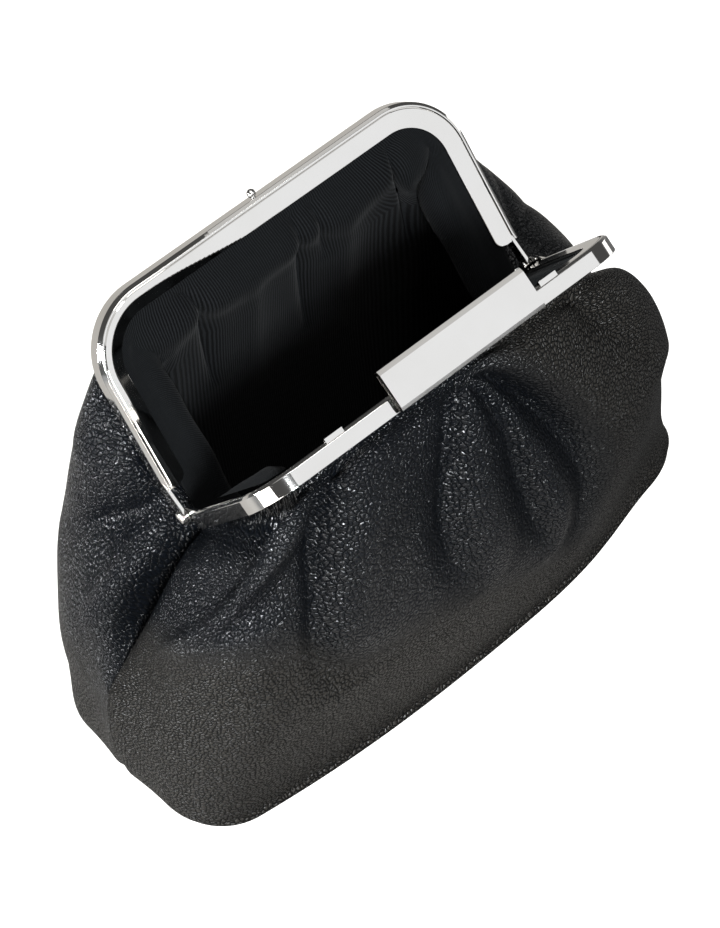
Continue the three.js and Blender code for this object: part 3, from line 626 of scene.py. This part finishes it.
def soft_panel(name, slot, node, table, folds, side, steps, wall, gathers, drawn=None, foot=()):
    """A sewn panel: a grid laid on its sections, folded, and thickened inwards."""
    bm = bmesh.new()
    bmesh.ops.create_grid(bm, x_segments=steps[0], y_segments=steps[1], size=1)
    grid = np.array([v.co for v in bm.verts])
    s_values = np.unique(np.round(grid[:, 0], 6))
    y_values = np.unique(np.round(grid[:, 1], 6))
    column = np.searchsorted(s_values, grid[:, 0] - 1e-5)
    line = len(y_values) - 1 - np.searchsorted(y_values, grid[:, 1] - 1e-5)
    rows, lengths = even_rows(table, side, len(y_values))
    places, spans = panel_places(table, side, s_values, rows)
    depth = fold_depths(folds, s_values, rows, spans) + gathers(s_values, rows, spans)
    inwards = -outward_normals(places, side)
    inwards[:, :, 1] *= 1 - s_values[None, :] ** SEAM_HOLD
    places = places + inwards * depth[:, :, None]
    for middle, width, share in foot:
        bell = np.exp(-(((s_values - middle) / width) ** 2))
        places[:, :, 1] *= 1 - share * smooth_step(rows, *FOOT_ROWS)[:, None] * bell[None, :]
    places[:, :, 1] = side * np.maximum(side * places[:, :, 1], 0)
    places[:, :, 2] = np.maximum(places[:, :, 2], table[-1][0])
    for v, r, c in zip(bm.verts, line, column):
        v.co = places[r, c]
    if side > 0:
        bmesh.ops.reverse_faces(bm, faces=bm.faces)
    piece = finish_piece(bm, name, "bag", slot, [node], sharp=0)
    mesh = piece.data
    cut = mesh.uv_layers.new(name="cut")
    corner = np.empty(len(mesh.loops), np.int32)
    mesh.loops.foreach_get("vertex_index", corner)
    uv = np.stack([s_values[column] * spans[line], lengths[line]], axis=1) * MM
    cut.data.foreach_set("uv", uv[corner].astype(np.float32).ravel())
    # the drawn mask: smoother grain, and a painted sheen in the leather's colour
    if slot == "leather":
        keep_values(mesh, "drawn", drawn(s_values, rows)[line, column])
    else:
        lean = RIB_LEAN * np.sign(s_values) * smooth_step(np.abs(s_values), *RIB_TURN)
        lean = lean[column] + RIB_LEAN_MIDDLE
        keep_values(mesh, "rib", uv[:, 0] - np.minimum(uv[:, 1], RIB_LEAN_END) * lean)
    thick = piece.modifiers.new("wall", "SOLIDIFY")
    thick.thickness = wall * MM
    thick.offset = -1


def seam_dip(s, rows, spans):
    """The dip of the leather into the seam between its two halves."""
    offset = (1 - np.abs(s))[None, :] * spans[:, None]
    fade = smooth_step(rows, SEAM_DIP["first_row"], SEAM_DIP["first_row"] + 1)[:, None]
    return SEAM_DIP["depth"] * fade * np.exp(-((offset / SEAM_DIP["width"]) ** 2))


def front_gathers(s, rows, spans):
    """The gathers under the front bar, with the dip at the seams."""
    valleys = line_depths(FRONT_VALLEYS, s, rows, spans, True)
    ridges = line_depths(FRONT_RIDGES, s, rows, spans, False)
    return seam_dip(s, rows, spans) + valleys - ridges


def back_gathers(s, rows, spans):
    """The gathers by the two hinges on the back, with the dip at the seams."""
    gathers = np.zeros((len(rows), len(s)))
    for across, share in ((s, 1), (-s, RIGHT_SHARE)):
        gathers += share * line_depths(BACK_VALLEYS, across, rows, spans, True)
        gathers -= share * line_depths(BACK_RIDGES, across, rows, spans, False)
    from_seam = (1 - np.abs(s))[None, :] * spans[:, None]
    return seam_dip(s, rows, spans) + gathers * smooth_step(from_seam, 0, SEAM_DIP["clear"])


def lining_roll(s, rows, spans, share):
    """The roll of lining that puffs into the mouth below the frame, with its tucks."""
    rise = smooth_step(rows, LINING_ROLL["first_row"], LINING_ROLL["top_row"])
    fall = 1 - smooth_step(rows, LINING_ROLL["top_row"], LINING_ROLL["last_row"])
    waves = np.sin(s * LINING_WAVES["short"]) * np.cos(s * LINING_WAVES["long"] + 1)
    swell = (1 - LINING_WAVES["share"] + LINING_WAVES["share"] * waves) * share
    depth = LINING_ROLL["depth"] * (rise * fall)[:, None] * swell[None, :]
    for top_s, foot_s, last_row, width, deep in LINING_TUCKS:
        reach = last_row - LINING_ROLL["first_row"]
        t = np.clip((rows - LINING_ROLL["first_row"]) / reach, 0, 1)[:, None]
        offset = (s[None, :] - (top_s + (foot_s - top_s) * t)) * spans[:, None]
        depth -= deep * np.sin(math.pi * t) ** TUCK_FADE * crease(offset / width)
    return depth


def front_lining_roll(s, rows, spans):
    """The front's roll, thin along the bar and full towards the corners."""
    full = smooth_step(np.abs(s), *LINING_CORNER)
    return lining_roll(s, rows, spans, LINING_ROLL["front"] + (1 - LINING_ROLL["front"]) * full)


def back_lining_roll(s, rows, spans):
    """The back's roll, full all along."""
    return lining_roll(s, rows, spans, 1)


def front_drawn_and_sheen(s, rows):
    """Where the front is drawn smooth, with a painted sheen in the leather's colour: below the gathers
    and to the right of the last valley.
    """
    belly = np.interp(s, *zip(*FRONT_BELLY))
    low = smooth_step(rows[:, None] - belly[None, :], *BELLY_BLEND)
    last_valley = np.array(FRONT_VALLEYS[LAST_VALLEY])
    valley_s = np.interp(rows, last_valley[:, 0], last_valley[:, 1])
    right = smooth_step(s[None, :] - valley_s[:, None], *RIGHT_BLEND)
    return np.maximum(low, right)


def back_drawn_and_sheen(s, rows):
    """Where the back is drawn smooth, with a painted sheen in the leather's colour, along a wavy line."""
    sway = BACK_BELLY["sway"] * np.cos(s * BACK_BELLY["waves"])
    return smooth_step(rows[:, None] + sway[None, :], *BACK_BELLY["rows"])


def make_panels():
    soft_panel("front_leather", "leather", "front_panel", FRONT_SECTIONS, FRONT_DENTS, FRONT, FRONT_MESH,
               LEATHER, front_gathers, front_drawn_and_sheen, FRONT_FOOT)
    soft_panel("back_leather", "leather", "back_panel", BACK_SECTIONS, BACK_FOLDS, BACK, BACK_MESH,
               LEATHER, back_gathers, back_drawn_and_sheen)
    soft_panel("front_twill", "twill", "front_lining", LINING_SECTIONS, FRONT_LINING_FOLDS,
               FRONT, LINING_MESH, TWILL, front_lining_roll)
    soft_panel("back_twill", "twill", "back_lining", LINING_SECTIONS, LINING_FOLDS,
               BACK, LINING_MESH, TWILL, back_lining_roll)


def extrude_along(bm, face, way):
    """Draws a face out along a vector and gives the new end face."""
    drawn = bmesh.ops.extrude_face_region(bm, geom=[face])["geom"]
    bmesh.ops.translate(bm, vec=way, verts=[g for g in drawn if isinstance(g, bmesh.types.BMVert)])
    return next(g for g in drawn if isinstance(g, bmesh.types.BMFace))


def spin_round(bm, face, centre, angle, steps):
    """Draws a face out round a corner and gives the new end face."""
    geom = [face, *face.edges, *face.verts]
    turned = bmesh.ops.spin(bm, geom=geom, cent=centre, axis=(0, 0, 1), angle=angle, steps=steps)
    return next(g for g in turned["geom_last"] if isinstance(g, bmesh.types.BMFace))


def rounded(corners):
    """The points of a section, its corners rounded by their own sizes: across, down and size."""
    points = []
    for k, (across, down, size) in enumerate(corners):
        here = Vector((across, down))
        if not size:
            points.append(here)
            continue
        before, after = (Vector(corners[i][:2]) - here for i in (k - 1, (k + 1) % len(corners)))
        start, end = here + before.normalized() * size, here + after.normalized() * size
        for t in np.linspace(0, 1, EDGE_STEPS + 1):
            points.append(start * (1 - t) ** 2 + here * (2 * t * (1 - t)) + end * t**2)
    return points


def channel_bmesh(stations, corner):
    """The U-shaped channel, drawn along one leg, round a corner, along the bar by way of the stations,
    round the other corner and down the other leg."""
    half = FRAME_WIDTH / 2
    inner = FRAME_DEPTH - FRAME_WALL
    soft = EDGE_SOFTNESS
    section = [(RIM_SLOPE[0], 0, soft / 2), (0, RIM_SLOPE[1], soft / 2), (0, FRAME_DEPTH, soft),
               (BAND, FRAME_DEPTH, soft), (BAND, inner, soft), (RIM_WALL, inner, 0),
               (RIM_WALL, FRAME_WALL, 0), (BAND, FRAME_WALL, soft), (BAND, 0, soft)]
    face = np.linspace(BAND, GROOVE["inset"] + GROOVE["width"], FACE_STEPS)[1:]
    section += [(inset, 0, 0) for inset in face]
    section += [(GROOVE["inset"] + GROOVE["width"] / 2, GROOVE["depth"], 0), (GROOVE["inset"], 0, 0)]
    bm = bmesh.new()
    outline = [bm.verts.new((half - inset, LEG_FOOT, depth)) for inset, depth in rounded(section)]
    end = bm.faces.new(outline)
    leg = FRAME_REACH - corner - LEG_FOOT
    centre_x = half - corner
    centre_y = FRAME_REACH - corner
    foot = [FOOT_ROUND / FOOT_STEPS] * FOOT_STEPS
    for step in foot + [leg - FOOT_ROUND]:
        end = extrude_along(bm, end, (0, step, 0))
    end = spin_round(bm, end, (centre_x, centre_y, 0), math.pi / 2, CORNER_STEPS)
    x = centre_x
    for station in sorted(stations, reverse=True) + [-centre_x]:
        end = extrude_along(bm, end, (station - x, 0, 0))
        x = station
    end = spin_round(bm, end, (-centre_x, centre_y, 0), math.pi / 2, CORNER_STEPS)
    for step in [leg - FOOT_ROUND] + foot:
        end = extrude_along(bm, end, (0, -step, 0))
    for v in bm.verts:
        short = FOOT_ROUND - (v.co.y - LEG_FOOT)
        if short > 0:
            cut = FOOT_ROUND - math.sqrt(max(FOOT_ROUND**2 - short**2, 0))
            v.co.x = math.copysign(half - (half - abs(v.co.x)) * (1 - cut / BAND), v.co.x)
    bmesh.ops.recalc_face_normals(bm, faces=bm.faces)
    return bm


def sink_bar_face(bm, span, margin, depth):
    """Sinks the outside of the bar between two stations."""
    middle = Vector((sum(span) / 2, FRAME_REACH))
    face = next(f for f in bm.faces if (f.calc_center_median().xy - middle).length < CLOSE)
    bmesh.ops.inset_region(bm, faces=[face], thickness=margin, use_boundary=True)
    bmesh.ops.translate(bm, verts=face.verts, vec=(0, -depth, 0))


def add_block(bm, low, high):
    """A rectangular block between two corners."""
    low, high = Vector(low), Vector(high)
    block = Matrix.Translation((low + high) / 2) @ Matrix.Diagonal((*(high - low), 1))
    bmesh.ops.create_cube(bm, size=1, matrix=block)


def add_ear(bm, x):
    """A hinge ear: a round end on the hinge axis, drawn up into a tongue in the channel."""
    ear = bmesh.new()
    bmesh.ops.create_circle(ear, cap_ends=True, segments=TURNED_STEPS, radius=EAR_RADIUS)
    upper = [e for e in ear.edges if all(v.co.y > EAR_SHOULDER * EAR_RADIUS for v in e.verts)]
    drawn = bmesh.ops.extrude_edge_only(ear, edges=upper)["geom"]
    root = (FRAME_WALL / 2, FRAME_DEPTH - FRAME_WALL / 2)
    for v in (g for g in drawn if isinstance(g, bmesh.types.BMVert)):
        share = 0.5 + 0.5 * v.co.x / EAR_RADIUS
        v.co.x = root[0] + (root[1] - root[0]) * share
        v.co.y = EAR_ROOT
    solid = bmesh.ops.extrude_face_region(ear, geom=ear.faces[:])["geom"]
    far = [g for g in solid if isinstance(g, bmesh.types.BMVert)]
    bmesh.ops.translate(ear, vec=(0, 0, EAR_WALL), verts=far)
    bmesh.ops.recalc_face_normals(ear, faces=ear.faces)
    upright = Matrix(((0, 0, 1, x), (0, 1, 0, 0), (1, 0, 0, 0), (0, 0, 0, 1)))
    ear.transform(upright)
    bmesh.ops.recalc_face_normals(ear, faces=ear.faces)
    round_edges(ear, EAR_SOFTNESS)
    held = bpy.data.meshes.new("ear")
    ear.to_mesh(held)
    ear.free()
    bm.from_mesh(held)
    bpy.data.meshes.remove(held)


def add_ears(bm):
    add_ear(bm, FRAME_WIDTH / 2 - EAR_WALL)
    add_ear(bm, -FRAME_WIDTH / 2 + EAR_JOG)


def round_edges(bm, width):
    """Rounds the sharp edges of a small metal piece."""
    edges = [e for e in bm.edges if e.calc_face_angle(0) > SHARP_EDGE]
    bmesh.ops.bevel(bm, geom=edges, offset=width, affect="EDGES", segments=2, profile=0.5, material=-1,
                    clamp_overlap=True)


def roll_face(bm):
    """Bends the mouth side of the channel along its left half, its inner part into the bag."""
    half = FRAME_WIDTH / 2
    centre_x, centre_y = half - FRAME_CORNER, FRAME_REACH - FRAME_CORNER
    for v in bm.verts:
        if v.co.x <= FACE_ROLL["start"] or v.co.z > RIM_SLOPE[1] - 0.1:
            continue
        if v.co.x < centre_x:
            inset = FRAME_REACH - v.co.y
        elif v.co.y < centre_y:
            inset = half - v.co.x
        else:
            inset = FRAME_CORNER - math.hypot(v.co.x - centre_x, v.co.y - centre_y)
        share = float(smooth_step(np.array(v.co.x), FACE_ROLL["start"], FACE_ROLL["end"]))
        bend = BAND + (FACE_ROLL["crease"] - BAND) * share
        v.co.z += FACE_ROLL["slope"] * (max(inset - bend, 0) - FACE_ROLL["lift"] * (BAND - bend))


LIFT = Matrix.Translation((0, 0, HINGE_HEIGHT))
FRONT_PLACE = LIFT @ Matrix.Rotation(math.pi - OPEN_ANGLE, 4, "X")
BACK_PLACE = LIFT @ Matrix.Rotation(math.pi, 4, "Z") @ Matrix.Rotation(math.pi - OPEN_ANGLE, 4, "X")


def make_frames():
    reach = STOP_MARK["width"] / 2 + STOP_MARK["margin"]
    mark = (STOP_MARK["x"] - reach, STOP_MARK["x"] + reach)
    bm = channel_bmesh(mark, FRONT_CORNER)
    sink_bar_face(bm, mark, STOP_MARK["margin"], STOP_MARK["depth"])
    for side in (-1, 1):
        top = FRAME_REACH + TAB["rise"]
        low = (side * TAB["place"] - TAB["length"] / 2, top - TAB["height"], -TAB["reach"])
        high = (side * TAB["place"] + TAB["length"] / 2, top, FRAME_WALL / 2)
        add_block(bm, low, high)
    add_ears(bm)
    finish_piece(bm, "front_frame_channel", "bag", "polished_metal", ["front_frame"], FRONT_PLACE)
    steps = np.linspace(-FRAME_WIDTH / 2 + FRAME_CORNER, FRAME_WIDTH / 2 - FRAME_CORNER, BAR_STEPS)[1:-1]
    bm = channel_bmesh(list(steps), FRAME_CORNER)
    roll_face(bm)
    add_ears(bm)
    finish_piece(bm, "back_frame_channel", "bag", "polished_metal", ["back_frame"], BACK_PLACE)


def slope_top_edge(bm, seat, depth, across, down):
    """Slopes the clasp's top edge at that depth."""
    def at_edge(v):
        return abs(v.co.z - depth) < CLOSE and v.co.y > seat + CLOSE

    edge = [e for e in bm.edges if all(at_edge(v) for v in e.verts)]
    bmesh.ops.bevel(bm, geom=edge, offset=across, affect="EDGES", segments=1, profile=0.5, material=-1)
    for v in bm.verts:
        if at_edge(v):
            v.co.y = seat + SLIDE_THICK - down


def make_clasp():
    """A folded plate over the bar, sloped along its two long edges and open at its ends."""
    seat = FRAME_REACH + GAP
    left = SLIDE_CENTRE - SLIDE_LENGTH / 2
    right = SLIDE_CENTRE + SLIDE_LENGTH / 2
    bm = bmesh.new()
    add_block(bm, (left, seat, -SLIDE_OVERHANG), (right, seat + SLIDE_THICK, FRAME_DEPTH))
    for depth, slope in ((-SLIDE_OVERHANG, SLIDE_BACK_SLOPE), (FRAME_DEPTH, SLIDE_FRONT_SLOPE)):
        slope_top_edge(bm, seat, depth, *slope)
    for x, way in ((left, 1), (right, -1)):
        face = next(f for f in bm.faces if abs(f.calc_center_median().x - x) < CLOSE)
        bmesh.ops.inset_region(bm, faces=[face], thickness=SLIDE_SHEET, use_boundary=True)
        bmesh.ops.translate(bm, verts=face.verts, vec=(way * SLIDE_HOLLOW, 0, 0))
    bmesh.ops.recalc_face_normals(bm, faces=bm.faces)
    round_edges(bm, SLIDE_SOFTNESS)
    finish_piece(bm, "clasp_plate", "clasp", "polished_metal", ["clasp_slide"], FRONT_PLACE,
                 sharp=SLIDE_SHARP)


def lathe(profile, axis):
    """Turns a profile of radius and height points about an axis through the origin."""
    bm = bmesh.new()
    across = Vector((0, 0, 1))
    verts = [bm.verts.new(across * radius + Vector(axis) * height) for radius, height in profile]
    edges = [bm.edges.new(pair) for pair in zip(verts, verts[1:])]
    bmesh.ops.spin(bm, geom=verts + edges, cent=(0, 0, 0), axis=axis, angle=2 * math.pi,
                   steps=TURNED_STEPS, use_merge=True)
    bmesh.ops.remove_doubles(bm, verts=bm.verts, dist=1e-4)
    bmesh.ops.recalc_face_normals(bm, faces=bm.faces)
    return bm


def arc(centre_radius, centre_height, size, start, end, steps):
    """Points of radius and height along an arc, its angles in degrees."""
    angles = [math.radians(start + (end - start) * k / steps) for k in range(steps + 1)]
    return [(centre_radius + size * math.cos(a), centre_height + size * math.sin(a)) for a in angles]


def make_turned_pieces():
    ball_centre = STUD["stem_height"] + STUD["ball_rise"]
    profile = [(0, -STUD["shank"]), (STUD["stem"], -STUD["shank"]), (STUD["stem"], STUD["stem_height"])]
    profile += arc(0, ball_centre, STUD["ball"], BALL_START, 90, BALL_STEPS)
    bm = lathe(profile, (0, 1, 0))
    place = BACK_PLACE @ Matrix.Translation((0, FRAME_REACH, STUD["depth"]))
    finish_piece(bm, "stud_ball", "bag", "polished_metal", ["catch_stud"], place, sharp=TURNED_SHARP)
    half = (EAR_WALL + EAR_JOG) / 2 + GAP
    edge = RIVET_HEAD_RADIUS - RIVET_CHAMFER
    head = [(RIVET_RADIUS, half), (edge, half), (RIVET_HEAD_RADIUS, half + RIVET_CHAMFER)]
    dome = RIVET_HEAD - RIVET_BRIM
    head += [(RIVET_HEAD_RADIUS * math.cos(a), half + RIVET_BRIM + dome * math.sin(a))
             for a in np.linspace(0, math.pi / 2, DOME_POINTS)]
    profile = [(r, -h) for r, h in reversed(head)] + head
    rivet_x = FRAME_WIDTH / 2 - (EAR_WALL + EAR_JOG) / 2
    for name, node, x in (
        ("left_rivet", "left_hinge_rivet", -rivet_x),
        ("right_rivet", "right_hinge_rivet", rivet_x),
    ):
        bm = lathe(profile, (1, 0, 0))
        place = Matrix.Translation((x, 0, HINGE_HEIGHT))
        finish_piece(bm, name, "bag", "polished_metal", [node], place, sharp=TURNED_SHARP)


def make_ground(name, height, grey, glow, edge=None):
    """A wide plain ground, lit brightest under the bag and as far as the edge of its light."""
    bm = bmesh.new()
    level = Matrix.Translation((0, 0, height))
    bmesh.ops.create_grid(bm, x_segments=1, y_segments=1, size=FLOOR_SIZE, matrix=level)
    mesh = bpy.data.meshes.new(name)
    bm.to_mesh(mesh)
    bm.free()
    f = Finish(name)
    place = f.node("ShaderNodeTexCoord", output=3)
    away = f.node("ShaderNodeVectorMath", {"operation": "DISTANCE"}, {0: place, 1: FLOOR_POOL}, output=1)
    shade = f.ramp(away, *FLOOR_FADE)
    if edge:
        across = {0: place, 1: BOUNCE_WAY}
        ahead = f.node("ShaderNodeVectorMath", {"operation": "DOT_PRODUCT"}, across, output=1)
        shade = f.maths("MAXIMUM", shade, f.ramp(ahead, *edge))
    mesh.materials.append(f.done(f.shader(
        Base_Color=colour(grey, grey, grey),
        Roughness=0.8,
        Specular_IOR_Level=0.1,
        Emission_Color=f.tint(shade, colour(*glow), colour(*FLOOR_FAR)),
        Emission_Strength=1.0,
    )))
    ground = bpy.data.objects.new(name, mesh)
    bpy.context.scene.collection.objects.link(ground)
    return ground


def make_floor():
    """The pale floor that is seen, and a dimmer sheet under it that lights the bag from below."""
    floor = make_ground("pale_floor", 0, FLOOR_GREY, FLOOR_GLOW)
    floor.visible_diffuse = False
    floor.visible_glossy = False
    floor.visible_shadow = False
    sheet = make_ground("bounce_sheet", -BOUNCE_DROP, BOUNCE_GREY, BOUNCE_GLOW, BOUNCE_EDGE)
    sheet.visible_camera = False


def make_light(name, way, distance, size, glow, tint):
    """A soft box that shines on the bag from a direction, its face as bright as glow."""
    data = bpy.data.lights.new(name, "AREA")
    data.shape = "RECTANGLE"
    data.size, data.size_y = size
    data.energy = 4 * size[0] * size[1] * glow  # watts are spread over four times the face
    data.color = tint
    light = bpy.data.objects.new(name, data)
    way = Vector(way).normalized()
    light.location = Vector((0, 0, HINGE_HEIGHT * MM)) + way * distance
    light.rotation_mode = "QUATERNION"
    light.rotation_quaternion = way.to_track_quat("Z", "Y")
    bpy.context.scene.collection.objects.link(light)


def make_studio():
    world = bpy.data.worlds.new("white_studio")
    bpy.context.scene.world = world
    world.use_nodes = True
    sky = world.node_tree.nodes["Background"]
    sky.inputs["Color"].default_value = colour(*SKY_TINT)
    sky.inputs["Strength"].default_value = SKY
    for name, way, distance, size, glow, tint in SOFT_BOXES:
        make_light(name, way, distance, size, glow, tint)
    bpy.context.scene.view_settings.view_transform = "Standard"


def make_camera():
    data = bpy.data.cameras.new("camera")
    data.lens = CAMERA_LENS
    data.sensor_width = CAMERA_SENSOR
    data.clip_end = CAMERA_FAR
    camera = bpy.data.objects.new("camera", data)
    level = math.cos(CAMERA_ELEVATION)
    across, along = math.sin(CAMERA_YAW) * level, math.cos(CAMERA_YAW) * level
    looking = Vector((across, along, -math.sin(CAMERA_ELEVATION)))
    camera.location = (CAMERA_AIM - looking * CAMERA_DISTANCE) * MM
    camera.rotation_mode = "QUATERNION"
    rolled = Matrix.Rotation(CAMERA_ROLL, 4, "Z").to_quaternion()
    camera.rotation_quaternion = looking.to_track_quat("-Z", "Y") @ rolled
    bpy.context.scene.collection.objects.link(camera)
    bpy.context.scene.camera = camera


make_camera()
make_floor()
make_studio()
make_panels()
make_frames()
make_clasp()
make_turned_pieces()
